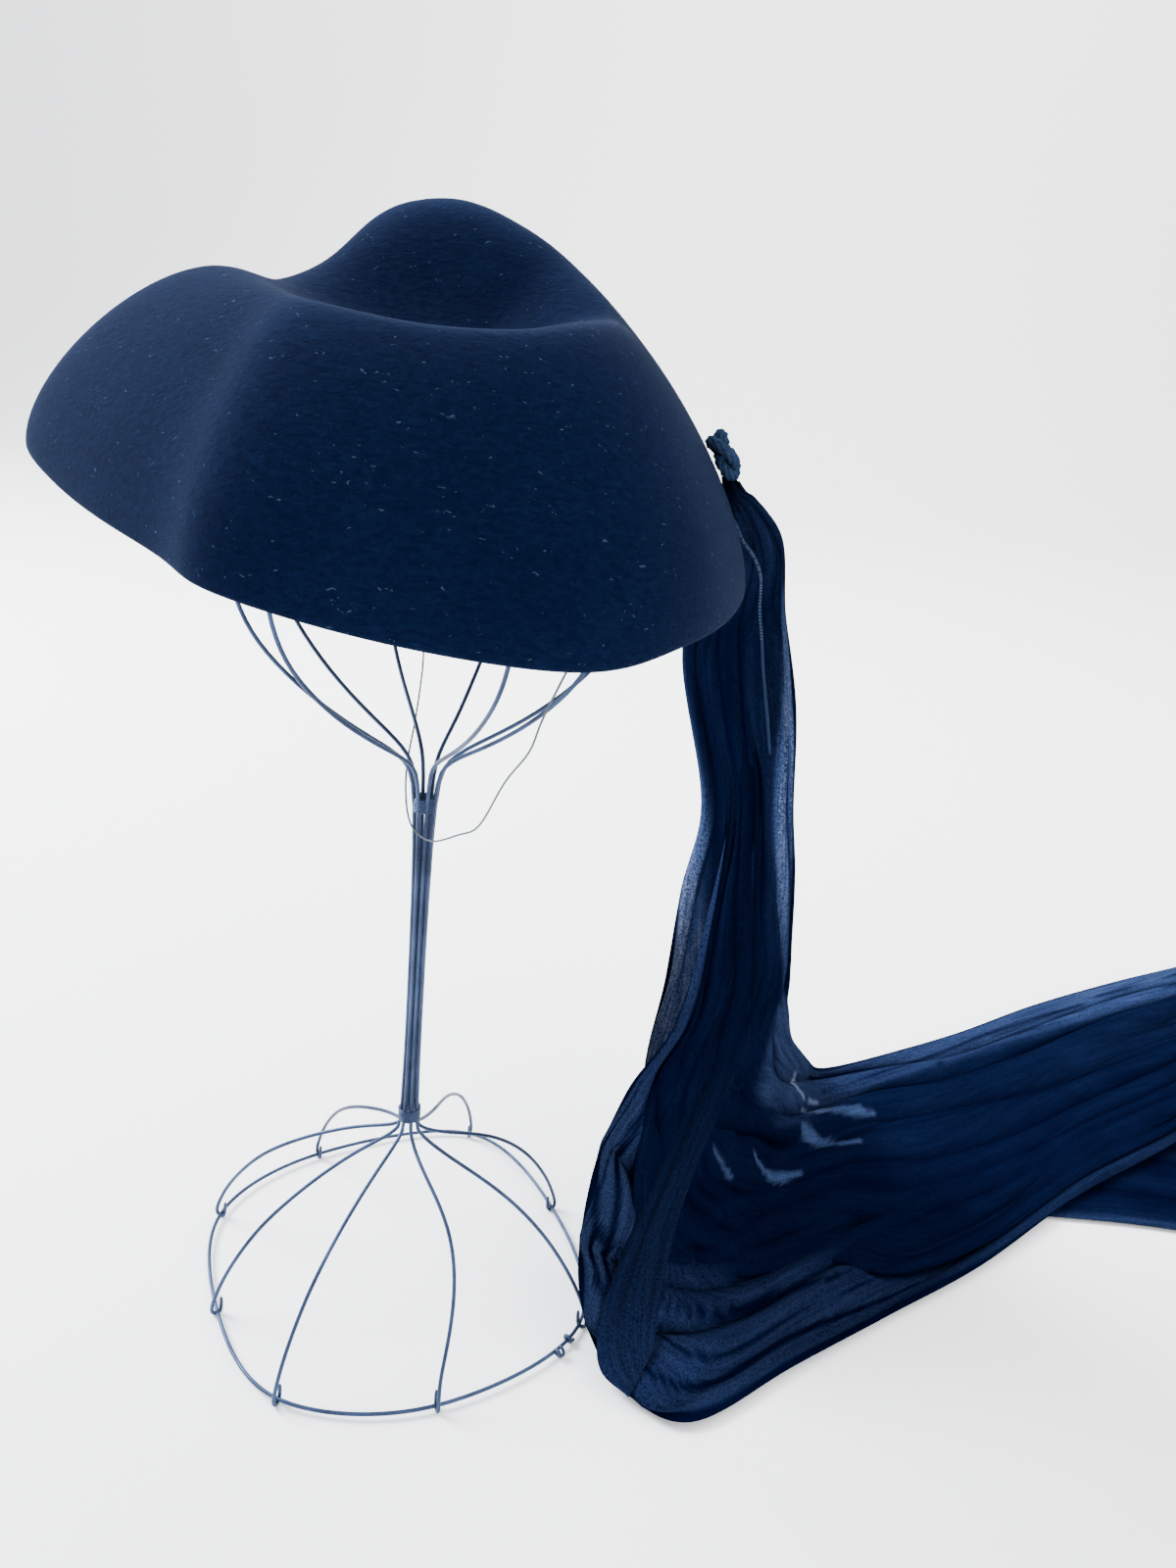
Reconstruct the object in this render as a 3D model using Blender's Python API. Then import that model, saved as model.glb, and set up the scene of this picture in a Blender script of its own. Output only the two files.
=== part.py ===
# Soft felt hat with a knotted chiffon scarf, on a bent wire hat stand. Metres, +Z up.
import math

import bmesh
import bpy
import numpy as np
from mathutils import Matrix, Vector

# Clearance between pieces that touch
GAP = 0.0003

# Wire stand
WIRE = 0.0018
WIRE_SIDES = 6
HOOK_STEPS = 4
HOOK_BEND = math.radians(45)
HOOK_RISE = 0.0068
BUNDLE_START = 20
LEG_STEPS = 2
ARM_STEPS = 1
RING_RADIUS = 0.090
RING_STEPS = 5
LOW_BINDING_HEIGHT = 0.085
HIGH_BINDING_HEIGHT = 0.240
BINDING_WIRE = 0.0012
BINDING_TURNS = 6
BINDING_SEGMENTS = 10
BINDING_GROOVE = 0.55
CAGE_RADIUS = 0.076
CAGE_HEIGHT = 0.1693
BOSS_RADIUS = 0.0038
BOSS_HEIGHT = 0.0032
BOSS_SIDES = 12

# Felt hat
HAT_LENGTH = 0.269
HAT_WIDTH = 0.176
CROWN_DEPTH = 0.139
FELT = 0.0024
DENT_FLOOR = 0.62
DENT_FLATNESS = 0.50
WALL_RISE = 0.36

# Scarf and its knot
KNOT_LENGTH = 0.0195
KNOT_WIDTH = 0.0172
KNOT_CORD = 0.0036
KNOT_LIFT = 0.0022
KNOT_PLACE = 0.406
TAIL_HEAD = 0.006
UNDER_HEAD_RISE = 0.0022
CHIFFON = 0.0012
SCARF_REACH = 0.50
FOLD_DEPTH = 0.0040
OVER_PLEATS = 4
UNDER_PLEATS = 2
COLUMNS_PER_PLEAT = 4
KNOT_STEPS = 40
KNOT_SIDES = 6

# Chin elastic
ELASTIC = 0.0008
ELASTIC_REACH = 0.10
ELASTIC_DROP = 0.11
ELASTIC_PLACE = 0.12

# One row for each wire, in degrees: where it meets the ring, where it leaves the post, and how
# far the middle of its leg sways aside. ring is the bent ring's reach there, as a share.
WIRES = (
    {"leg": 30, "ring": 0.89, "sway": 0, "arm": 2},
    {"leg": 77, "ring": 1.02, "sway": 0, "arm": 73},
    {"leg": 133, "ring": 0.91, "sway": 0, "arm": 117},
    {"leg": 173, "ring": 1.03, "sway": 0, "arm": 160},
    {"leg": 212, "ring": 0.98, "sway": 0, "arm": 200},
    {"leg": 248, "ring": 1.06, "sway": 0, "arm": 231},
    {"leg": 290, "ring": 0.985, "sway": 12, "arm": 299},
    {"leg": 340, "ring": 1.05, "sway": 0, "arm": 331},
)

# Bend of a leg: reach as a share of the ring's there, height as a share of the low binding's
LEG_BENDS = (
    {"reach": 0.98, "height": 0.19},
    {"reach": 0.90, "height": 0.34},
    {"reach": 0.77, "height": 0.51},
    {"reach": 0.60, "height": 0.65},
    {"reach": 0.42, "height": 0.745},
    {"reach": 0.25, "height": 0.81},
    {"reach": 0.10, "height": 0.87},
)

# Bend of a cage arm: reach as a share of the cage's radius, height as a share of the cage's
ARM_BENDS = (
    {"reach": 0.10, "height": 0.115},
    {"reach": 0.30, "height": 0.17},
    {"reach": 0.55, "height": 0.25},
    {"reach": 0.78, "height": 0.35},
    {"reach": 0.92, "height": 0.44},
    {"reach": 1.00, "height": 0.56},
    {"reach": 0.99, "height": 0.71},
    {"reach": 0.86, "height": 0.86},
    {"reach": 0.58, "height": 0.95},
    {"reach": 0.24, "height": 0.985},
)

# One row for each meridian of the felt, anticlockwise from the back as seen from above.
# The x values are shares of the hat's length and the y values of its width, from the dent's
# middle. lift and rise are heights above the lowest rim, as shares of the crown's depth. belly,
# shoulder and crest are how far the wall stands out at its foot, and how broadly it rounds over
# outside and inside the ridge, as shares of the run on that side.
HAT_COLUMNS = ("rim_x", "rim_y", "lift", "ridge_x", "ridge_y", "rise", "belly", "shoulder", "crest")
HAT_MERIDIANS = {
    "back": (0.431, 0.000, 0.10, 0.205, 0.000, 0.750, -0.02, 0.20, 0.30),
    "back far": (0.405, 0.170, 0.07, 0.182, 0.070, 0.800, -0.01, 0.20, 0.30),
    "far back corner": (0.344, 0.340, 0.05, 0.136, 0.150, 0.868, 0.02, 0.27, 0.35),
    "far rear side": (0.227, 0.455, 0.00, 0.076, 0.200, 0.942, 0.05, 0.38, 0.40),
    "far side": (0.000, 0.500, 0.05, -0.015, 0.240, 1.000, 0.05, 0.45, 0.40),
    "far corner": (-0.212, 0.483, 0.125, -0.112, 0.235, 0.960, 0.03, 0.42, 0.35),
    "far front": (-0.300, 0.370, 0.15, -0.180, 0.180, 0.820, 0.00, 0.40, 0.30),
    "far flank": (-0.455, 0.195, 0.205, -0.235, 0.085, 0.752, 0.00, 0.42, 0.25),
    "nose": (-0.569, 0.000, 0.295, -0.290, 0.000, 0.776, 0.01, 0.38, 0.25),
    "near flank": (-0.455, -0.195, 0.205, -0.245, -0.085, 0.755, 0.00, 0.40, 0.20),
    "near front": (-0.300, -0.370, 0.14, -0.190, -0.170, 0.735, 0.00, 0.30, 0.18),
    "near corner": (-0.212, -0.483, 0.105, -0.135, -0.245, 0.725, 0.02, 0.26, 0.18),
    "near side": (0.000, -0.500, 0.035, -0.005, -0.265, 0.702, 0.03, 0.26, 0.18),
    "near rear side": (0.227, -0.455, 0.00, 0.110, -0.240, 0.712, 0.04, 0.28, 0.20),
    "near back corner": (0.344, -0.340, 0.05, 0.165, -0.180, 0.735, 0.04, 0.28, 0.22),
    "back near": (0.405, -0.170, 0.07, 0.200, -0.090, 0.745, 0.02, 0.25, 0.25),
}
STATIONS_PER_MERIDIAN = 3
WALL_RINGS = 10
DENT_RINGS = 6

# One row for each place down the scarf's lengths, from the knot to the hem: its left and right
# edges, x and y as shares of the reach over the table from the stand's axis, z of the knot's
# height, and the depth of its pleats as a share of the fold depth.
TAIL_COLUMNS = ("left_x", "left_y", "left_z", "right_x", "right_y", "right_z", "fold")
OVER_TAIL = (
    (0.222, 0.040, 0.939, 0.238, 0.000, 0.968, 0.25),
    (0.226, 0.096, 0.860, 0.262, 0.036, 0.924, 0.55),
    (0.222, 0.124, 0.772, 0.277, 0.056, 0.847, 0.80),
    (0.238, 0.120, 0.675, 0.296, 0.066, 0.753, 0.90),
    (0.257, 0.110, 0.582, 0.310, 0.070, 0.655, 1.00),
    (0.249, 0.070, 0.438, 0.324, 0.090, 0.547, 1.00),
    (0.233, 0.024, 0.353, 0.334, 0.110, 0.420, 1.00),
    (0.197, -0.014, 0.293, 0.344, 0.130, 0.352, 0.90),
    (0.173, -0.036, 0.200, 0.352, 0.156, 0.303, 0.80),
    (0.172, -0.058, 0.098, 0.364, 0.176, 0.259, 0.70),
    (0.192, -0.092, 0.034, 0.380, 0.206, 0.196, 0.65),
    (0.221, -0.140, 0.017, 0.410, 0.260, 0.117, 0.75),
    (0.276, -0.158, 0.015, 0.456, 0.340, 0.035, 0.75),
    (0.366, -0.092, 0.015, 0.546, 0.404, 0.016, 0.75),
    (0.464, -0.026, 0.015, 0.650, 0.470, 0.015, 0.75),
    (0.580, 0.056, 0.016, 0.780, 0.560, 0.015, 0.75),
    (0.720, 0.178, 0.019, 0.920, 0.640, 0.015, 0.75),
    (0.860, 0.280, 0.019, 1.060, 0.720, 0.015, 0.65),
    (0.920, 0.330, 0.019, 1.140, 0.780, 0.015, 0.50),
)
UNDER_TAIL = (
    (0.206, 0.104, 0.899, 0.215, 0.086, 0.914, 0.15),
    (0.208, 0.160, 0.831, 0.262, 0.110, 0.841, 0.50),
    (0.206, 0.184, 0.733, 0.290, 0.120, 0.723, 0.60),
    (0.244, 0.190, 0.551, 0.318, 0.136, 0.587, 0.60),
    (0.236, 0.186, 0.430, 0.334, 0.150, 0.450, 0.60),
    (0.232, 0.176, 0.301, 0.352, 0.190, 0.323, 0.50),
    (0.222, 0.150, 0.147, 0.370, 0.260, 0.137, 0.20),
    (0.270, 0.120, 0.012, 0.420, 0.330, 0.010, 0.00),
    (0.400, 0.110, 0.002, 0.520, 0.340, 0.002, 0.00),
    (0.580, 0.140, 0.002, 0.660, 0.360, 0.002, 0.00),
    (0.750, 0.150, 0.002, 0.810, 0.370, 0.002, 0.00),
    (0.900, 0.140, 0.002, 0.940, 0.360, 0.002, 0.00),
    (1.000, 0.130, 0.002, 1.030, 0.350, 0.002, 0.00),
)
OVER_STEPS = 2
UNDER_STEPS = 1

# The elastic's way from the near wall's inside, below the hat, to the far wall's inside: x and
# y as shares of its reach from the stand's axis, z as a share of its drop from the hat's base.
ELASTIC_BENDS = (
    {"x": 0.484, "y": -0.700, "z": 0.16},
    {"x": 0.438, "y": -0.600, "z": 0.32},
    {"x": 0.351, "y": -0.450, "z": 0.49},
    {"x": 0.255, "y": -0.300, "z": 0.72},
    {"x": 0.167, "y": -0.220, "z": 0.80},
    {"x": 0.054, "y": -0.120, "z": 0.88},
    {"x": -0.024, "y": -0.065, "z": 0.87},
    {"x": -0.060, "y": -0.050, "z": 0.81},
    {"x": -0.082, "y": 0.000, "z": 0.71},
    {"x": -0.088, "y": 0.080, "z": 0.62},
    {"x": -0.095, "y": 0.250, "z": 0.54},
    {"x": -0.115, "y": 0.500, "z": 0.42},
    {"x": -0.130, "y": 0.700, "z": 0.20},
)
ELASTIC_STEPS = 5


def smooth(rows, per_span, closed=False):
    """Points on a smooth curve through the rows, each row kept."""
    rows = np.array(rows, float)
    count = len(rows)
    spans = count if closed else count - 1
    points = []
    for span in range(spans):
        if closed:
            before, start, end, after = (rows[(span + step) % count] for step in (-1, 0, 1, 2))
        else:
            start, end = rows[span], rows[span + 1]
            before = rows[span - 1] if span else 2 * start - end
            after = rows[span + 2] if span + 2 < count else 2 * end - start
        for step in range(per_span):
            t = step / per_span
            points.append(
                start
                + 0.5 * t * (end - before)
                + t * t * (before - 2.5 * start + 2 * end - 0.5 * after)
                + t * t * t * (1.5 * (start - end) + 0.5 * (after - before))
            )
    if not closed:
        points.append(rows[-1])
    return np.array(points)


def bezier(start, pull_start, pull_end, end, t):
    """The point at t on a cubic curve."""
    s = 1 - t
    return s**3 * start + 3 * s * s * t * pull_start + 3 * s * t * t * pull_end + t**3 * end


def unit(vector):
    return vector / np.linalg.norm(vector)


def new_material(name, color, roughness, metallic=0.0):
    material = bpy.data.materials.new(name)
    material.use_nodes = True
    shader = material.node_tree.nodes["Principled BSDF"]
    shader.inputs["Base Color"].default_value = (*color, 1.0)
    shader.inputs["Roughness"].default_value = roughness
    shader.inputs["Metallic"].default_value = metallic
    return material


def new_object(name, mesh, material):
    mesh.materials.append(material)
    mesh.shade_smooth()
    piece = bpy.data.objects.new(name, mesh)
    bpy.context.collection.objects.link(piece)
    return piece


def grid_mesh(name, grid, wrap_across, wrap_along=False, caps=False, pole=None):
    """A mesh of quads over a grid of points; caps closes both ends and pole the last row."""
    grid = np.asarray(grid)
    rows, columns = grid.shape[:2]
    form = bmesh.new()
    verts = [[form.verts.new(point) for point in row] for row in grid]
    for i in range(rows if wrap_along else rows - 1):
        for j in range(columns if wrap_across else columns - 1):
            here, ahead = verts[i], verts[(i + 1) % rows]
            beside = (j + 1) % columns
            form.faces.new((here[j], here[beside], ahead[beside], ahead[j]))
    if caps:
        form.faces.new(reversed(verts[0]))
        form.faces.new(verts[-1])
    if pole is not None:
        top = form.verts.new(pole)
        for j in range(columns):
            form.faces.new((verts[-1][j], verts[-1][(j + 1) % columns], top))
    bmesh.ops.recalc_face_normals(form, faces=form.faces)
    mesh = bpy.data.meshes.new(name)
    form.to_mesh(mesh)
    form.free()
    return mesh


def wire_tube(path, sideways, radius, sides):
    """Rings of points round a bent wire, with one flat side square to the bend."""
    rings = []
    for i, point in enumerate(path):
        before = unit(path[i] - path[i - 1]) if i else None
        after = unit(path[i + 1] - path[i]) if i + 1 < len(path) else before
        before = after if before is None else before
        along = unit(before + after)
        stretch = 1 / math.sqrt(max(0.5, (1 + before @ after) / 2))
        facing = unit(np.cross(sideways[i], along))
        across = unit(np.cross(along, facing))
        turns = [2 * math.pi * (k + 0.5) / sides for k in range(sides)]
        rings.append([
            point + radius * (math.cos(a) * stretch * facing + math.sin(a) * across) for a in turns
        ])
    return np.array(rings)


def closed_tube(path, upright, radius, sides):
    """Rings of points round a closed path."""
    rings = []
    for step, centre in enumerate(path):
        along = unit(path[(step + 1) % len(path)] - path[step - 1])
        outward = unit(np.cross(along, upright))
        rise = np.cross(outward, along)
        turns = [2 * math.pi * k / sides for k in range(sides)]
        rings.append([
            centre + radius * (math.cos(a) * outward + math.sin(a) * rise) for a in turns
        ])
    return np.array(rings)


def around(angle, reach, height):
    return np.array([reach * math.cos(angle), reach * math.sin(angle), height])


# Each leg hooks under the ring, so the hooks' flat undersides are the stand's feet
HOOK_RADIUS = (WIRE + GAP) / math.cos(HOOK_BEND / 2)
RING_HEIGHT = WIRE + GAP + WIRE / 2 * math.cos(math.pi / WIRE_SIDES)
BUNDLE_RADIUS = (WIRE + GAP) / (2 * math.sin(math.pi / len(WIRES)))
BINDING_LENGTH = BINDING_TURNS * BINDING_WIRE
CAGE_TOP = HIGH_BINDING_HEIGHT + CAGE_HEIGHT
HAT_BASE = CAGE_TOP + GAP + FELT - DENT_FLOOR * CROWN_DEPTH


def ring_anchors():
    """Where the legs meet the ring."""
    return [around(math.radians(row["leg"]), row["ring"] * RING_RADIUS, RING_HEIGHT) for row in WIRES]


def ring_hook(index):
    """The hook that a leg makes under the ring, from its free end to where the leg rises."""
    anchors = ring_anchors()
    anchor = anchors[index]
    tangent = unit(anchors[(index + 1) % len(anchors)] - anchors[index - 1])
    outward = np.cross(tangent, (0, 0, 1))
    up = np.array([0, 0, 1.0])
    points = [anchor - HOOK_RADIUS * outward + HOOK_RISE * up]
    for step in range(HOOK_STEPS, 0, -1):
        turn = HOOK_BEND * (0.5 - step)
        points.append(anchor + HOOK_RADIUS * (math.cos(turn) * outward + math.sin(turn) * up))
    return points, tangent


def stand_wire_path(index):
    """One wire from its hook on the ring, up its leg, through the post and round the cage."""
    row = WIRES[index]
    bundle = math.radians(BUNDLE_START + 360 / len(WIRES) * index)
    leg, arm, sway = (math.radians(row[key]) for key in ("leg", "arm", "sway"))
    ring_reach = row["ring"] * RING_RADIUS
    past_binding = BINDING_LENGTH / 2 + WIRE
    hook, tangent = ring_hook(index)
    legs = [(leg, ring_reach + HOOK_RADIUS, RING_HEIGHT + HOOK_RADIUS)]
    for bend in LEG_BENDS:
        turned = bundle + (leg - bundle) * min(1.0, 2 * bend["reach"])
        turned += sway * math.sin(math.pi * bend["reach"])
        legs.append((turned, bend["reach"] * ring_reach, bend["height"] * LOW_BINDING_HEIGHT))
    legs.append((bundle, BUNDLE_RADIUS, LOW_BINDING_HEIGHT - past_binding))
    arms = [(bundle, BUNDLE_RADIUS, HIGH_BINDING_HEIGHT + past_binding)]
    for bend in ARM_BENDS:
        turned = bundle + (arm - bundle) * min(1.0, 2 * bend["reach"])
        height = HIGH_BINDING_HEIGHT + bend["height"] * CAGE_HEIGHT
        arms.append((turned, bend["reach"] * CAGE_RADIUS, height))
    arms.append((arm, BOSS_RADIUS + GAP, CAGE_TOP - BOSS_HEIGHT / 2))
    bends = [*smooth(legs, LEG_STEPS), *smooth(arms, ARM_STEPS)]
    path = hook + [around(*bend) for bend in bends]
    sideways = [tangent] * len(hook) + [around(bend[0] + math.pi / 2, 1, 0) for bend in bends]
    return np.array(path), sideways


def make_stand(steel, binding_steel):
    for index in range(len(WIRES)):
        path, sideways = stand_wire_path(index)
        rings = wire_tube(path, sideways, WIRE / 2, WIRE_SIDES)
        name = f"stand_wire_{index + 1}"
        new_object(name, grid_mesh(name, rings, True, caps=True), steel)

    centres = smooth(ring_anchors(), RING_STEPS, closed=True)
    rings = closed_tube(centres, (0, 0, 1), WIRE / 2, WIRE_SIDES)
    new_object("base_ring", grid_mesh("base_ring", rings, True, wrap_along=True), steel)

    make_binding("post_binding_low", LOW_BINDING_HEIGHT, binding_steel)
    make_binding("post_binding_high", HIGH_BINDING_HEIGHT, binding_steel)

    bpy.ops.mesh.primitive_cylinder_add(
        vertices=BOSS_SIDES,
        radius=BOSS_RADIUS,
        depth=BOSS_HEIGHT,
        location=(0, 0, CAGE_TOP - BOSS_HEIGHT / 2),
    )
    boss = bpy.context.object
    boss.name = boss.data.name = "cage_boss"
    boss.data.materials.append(steel)


def make_binding(name, height, material):
    """Fine wire wound side by side round the bundle, as one ribbed sleeve."""
    inner = BUNDLE_RADIUS + WIRE / 2 + GAP
    profile = [(inner, BINDING_LENGTH / 2), (inner, -BINDING_LENGTH / 2)]
    for turn in range(BINDING_TURNS):
        low = -BINDING_LENGTH / 2 + turn * BINDING_WIRE
        profile.append((inner + BINDING_WIRE * BINDING_GROOVE, low))
        profile.append((inner + BINDING_WIRE, low + BINDING_WIRE / 2))
    profile.append((inner + BINDING_WIRE * BINDING_GROOVE, BINDING_LENGTH / 2))
    rings = []
    for step in range(BINDING_SEGMENTS):
        angle = 2 * math.pi * step / BINDING_SEGMENTS
        rings.append([around(angle, reach, height + rise) for reach, rise in profile])
    new_object(name, grid_mesh(name, rings, True, wrap_along=True), material)


def hat_grid():
    """The felt's outer face as rings from the rim, over the ridge and down to the dent's middle."""
    stations = smooth(list(HAT_MERIDIANS.values()), STATIONS_PER_MERIDIAN, closed=True)
    pole = np.array([0, 0, HAT_BASE + DENT_FLOOR * CROWN_DEPTH])
    up = np.array([0, 0, 1.0])
    meridians = []
    size = np.array([HAT_LENGTH, HAT_WIDTH, CROWN_DEPTH])
    base = np.array([0, 0, HAT_BASE])
    for station in stations:
        at = dict(zip(HAT_COLUMNS, station))
        rim = base + size * (at["rim_x"], at["rim_y"], at["lift"])
        ridge = base + size * (at["ridge_x"], at["ridge_y"], at["rise"])
        run_out = (rim - ridge) * (1, 1, 0)
        run_in = (ridge - pole) * (1, 1, 0)
        foot = rim + up * (ridge[2] - rim[2]) * WALL_RISE + run_out * at["belly"]
        shoulder = ridge + run_out * at["shoulder"]
        crest = ridge - run_in * at["crest"]
        points = [
            bezier(rim, foot, shoulder, ridge, step / WALL_RINGS) for step in range(WALL_RINGS)
        ]
        points += [
            bezier(ridge, crest, pole + run_in * DENT_FLATNESS, pole, step / DENT_RINGS)
            for step in range(DENT_RINGS)
        ]
        meridians.append(points)
    return np.array(meridians).transpose(1, 0, 2), pole


def make_hat(felt):
    rings, pole = hat_grid()
    mesh = grid_mesh("felt_hat", rings, True, pole=pole)
    hat = new_object("felt_hat", mesh, felt)
    wall = hat.modifiers.new("felt thickness", "SOLIDIFY")
    wall.thickness = FELT
    wall.offset = -1
    wall.use_even_offset = True
    wall.use_quality_normals = True
    return hat


def hat_wall_place(meridian, share):
    """A point on the felt's outer wall, at a share of the way up, and the way it faces."""
    rings, _ = hat_grid()
    column = list(HAT_MERIDIANS).index(meridian) * STATIONS_PER_MERIDIAN
    count = rings.shape[1]
    at = share * WALL_RINGS
    low = int(at)
    point, ahead, behind = (
        rings[low, step % count] * (low + 1 - at) + rings[low + 1, step % count] * (at - low)
        for step in (column, column + 1, column - 1)
    )
    facing = unit(np.cross(ahead - behind, rings[low + 1, column] - rings[low, column]))
    return point, facing


def knot_place():
    """The knot's middle, and its own directions: down the felt, aside and out."""
    point, out = hat_wall_place("back", KNOT_PLACE)
    aside = np.array([0, 1.0, 0])
    down = unit(np.cross(aside, out))
    return point + out * (KNOT_LIFT + KNOT_CORD / 2 + GAP), down, aside, out


def make_knot(chiffon):
    """A cord of rolled chiffon tied in one three-lobed knot, a lobe pointing down the felt."""
    middle, down, aside, out = knot_place()
    reach = (KNOT_LENGTH - KNOT_CORD) / 2 - KNOT_LIFT
    path = []
    for step in range(KNOT_STEPS):
        turn = 2 * math.pi * step / KNOT_STEPS
        round_reach = reach + KNOT_LIFT * math.cos(3 * turn)
        path.append(
            middle
            + round_reach * math.cos(2 * turn) * down
            + round_reach * math.sin(2 * turn) * KNOT_WIDTH / KNOT_LENGTH * aside
            + KNOT_LIFT * math.sin(3 * turn) * out
        )
    rings = closed_tube(path, out, KNOT_CORD / 2, KNOT_SIDES)
    new_object("back_knot", grid_mesh("back_knot", rings, True, wrap_along=True), chiffon)


def make_tail(name, rows, head, pleats, steps, chiffon):
    """One pleated length of the scarf, from the knot down to the table and along it."""
    size = np.array([SCARF_REACH, SCARF_REACH, knot_place()[0][2]])
    rows = [(*row[0:3] * size, *row[3:6] * size, row[6]) for row in np.array(rows)]
    stations = smooth([(*head[0], *head[1], 0), *rows], steps)
    lefts, rights, folds = stations[:, 0:3], stations[:, 3:6], stations[:, 6]
    middles = (lefts + rights) / 2
    columns = pleats * COLUMNS_PER_PLEAT + 1
    grid = []
    for i, (left, right, fold) in enumerate(zip(lefts, rights, folds)):
        along = middles[min(i + 1, len(middles) - 1)] - middles[max(i - 1, 0)]
        out = unit(np.cross(along, right - left))
        row = []
        for j in range(columns):
            share = j / (columns - 1)
            wave = fold * FOLD_DEPTH * math.cos(2 * math.pi * pleats * share)
            point = left + (right - left) * share + out * wave
            point[2] = max(point[2], CHIFFON / 2)
            row.append(point)
        grid.append(row)
    tail = new_object(name, grid_mesh(name, grid, False), chiffon)
    cloth = tail.modifiers.new("chiffon thickness", "SOLIDIFY")
    cloth.thickness = CHIFFON
    cloth.offset = 0
    cloth.use_even_offset = False


def make_tails(chiffon):
    """Both lengths of the scarf, their heads side by side under the knot's lower lobe."""
    middle, down, aside, _ = knot_place()
    over_head = middle + down * (KNOT_LENGTH / 2 + 2 * GAP)
    over_ends = (over_head + aside * TAIL_HEAD / 2, over_head - aside * TAIL_HEAD / 2)
    under_start = over_ends[0] + aside * CHIFFON - down * UNDER_HEAD_RISE
    under_ends = (under_start + aside * TAIL_HEAD, under_start)
    make_tail("chiffon_tail_over", OVER_TAIL, over_ends, OVER_PLEATS, OVER_STEPS, chiffon)
    make_tail("chiffon_tail_under", UNDER_TAIL, under_ends, UNDER_PLEATS, UNDER_STEPS, chiffon)


def make_elastic(material):
    """The chin loop as one free cord between the insides of the hat's walls."""
    inside = FELT + GAP + ELASTIC / 2
    near, near_facing = hat_wall_place("near rear side", ELASTIC_PLACE)
    far, far_facing = hat_wall_place("far side", ELASTIC_PLACE)
    route = [near - near_facing * inside]
    for bend in ELASTIC_BENDS:
        reach = ELASTIC_REACH
        route.append((bend["x"] * reach, bend["y"] * reach, HAT_BASE - bend["z"] * ELASTIC_DROP))
    route.append(far - far_facing * inside)
    points = smooth(route, ELASTIC_STEPS)
    curve = bpy.data.curves.new("chin_elastic", "CURVE")
    curve.dimensions = "3D"
    curve.bevel_depth = ELASTIC / 2
    curve.bevel_resolution = 2
    curve.use_fill_caps = True
    spline = curve.splines.new("POLY")
    spline.points.add(len(points) - 1)
    for spot, point in zip(spline.points, points):
        spot.co = (*point, 1)
    curve.materials.append(material)
    bpy.context.collection.objects.link(bpy.data.objects.new("chin_elastic", curve))


def centre_over_origin():
    """Move everything so that the middle of the box, less the elastic, stands over the origin."""
    bpy.context.view_layer.update()
    corners = []
    for piece in bpy.data.objects:
        if piece.name != "chin_elastic":
            corners += [piece.matrix_world @ Vector(corner) for corner in piece.bound_box]
    lows = np.min(corners, axis=0)
    highs = np.max(corners, axis=0)
    shift = Matrix.Translation((-(lows[0] + highs[0]) / 2, -(lows[1] + highs[1]) / 2, -lows[2]))
    for piece in bpy.data.objects:
        piece.matrix_world = shift @ piece.matrix_world


def clear_scene():
    for old in list(bpy.data.objects):
        bpy.data.objects.remove(old, do_unlink=True)


def main():
    clear_scene()
    steel = new_material("stand_wire_steel", (0.05, 0.07, 0.11), 0.35, 0.9)
    binding_steel = new_material("binding_steel", (0.06, 0.08, 0.12), 0.4, 0.9)
    felt = new_material("navy_felt", (0.012, 0.025, 0.06), 0.95)
    chiffon = new_material("navy_chiffon", (0.008, 0.012, 0.03), 0.8)
    elastic = new_material("black_elastic", (0.01, 0.01, 0.012), 0.7)
    make_stand(steel, binding_steel)
    make_hat(felt)
    make_knot(chiffon)
    make_tails(chiffon)
    make_elastic(elastic)
    centre_over_origin()


main()
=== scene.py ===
import math
import random

import bmesh
import bpy
import numpy as np
from mathutils import Matrix, Vector, noise


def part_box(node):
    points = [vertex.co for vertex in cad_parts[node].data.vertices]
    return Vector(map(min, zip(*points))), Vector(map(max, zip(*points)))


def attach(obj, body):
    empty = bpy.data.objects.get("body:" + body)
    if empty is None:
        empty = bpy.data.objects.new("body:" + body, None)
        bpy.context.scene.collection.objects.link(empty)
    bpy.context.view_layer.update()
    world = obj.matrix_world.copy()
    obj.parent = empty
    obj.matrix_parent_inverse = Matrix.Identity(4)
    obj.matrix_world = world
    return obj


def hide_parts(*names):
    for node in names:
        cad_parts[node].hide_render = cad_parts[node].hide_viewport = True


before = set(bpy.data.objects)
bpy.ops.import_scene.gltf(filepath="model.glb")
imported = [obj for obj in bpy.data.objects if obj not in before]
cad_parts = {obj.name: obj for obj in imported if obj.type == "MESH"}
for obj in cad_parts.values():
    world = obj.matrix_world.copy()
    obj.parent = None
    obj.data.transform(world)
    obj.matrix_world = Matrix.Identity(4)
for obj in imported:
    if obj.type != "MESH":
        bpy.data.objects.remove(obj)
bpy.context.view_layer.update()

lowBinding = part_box("post_binding_low")
standAxis = np.array([*((lowBinding[0] + lowBinding[1]) / 2)[0:2], 0.0])


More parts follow.
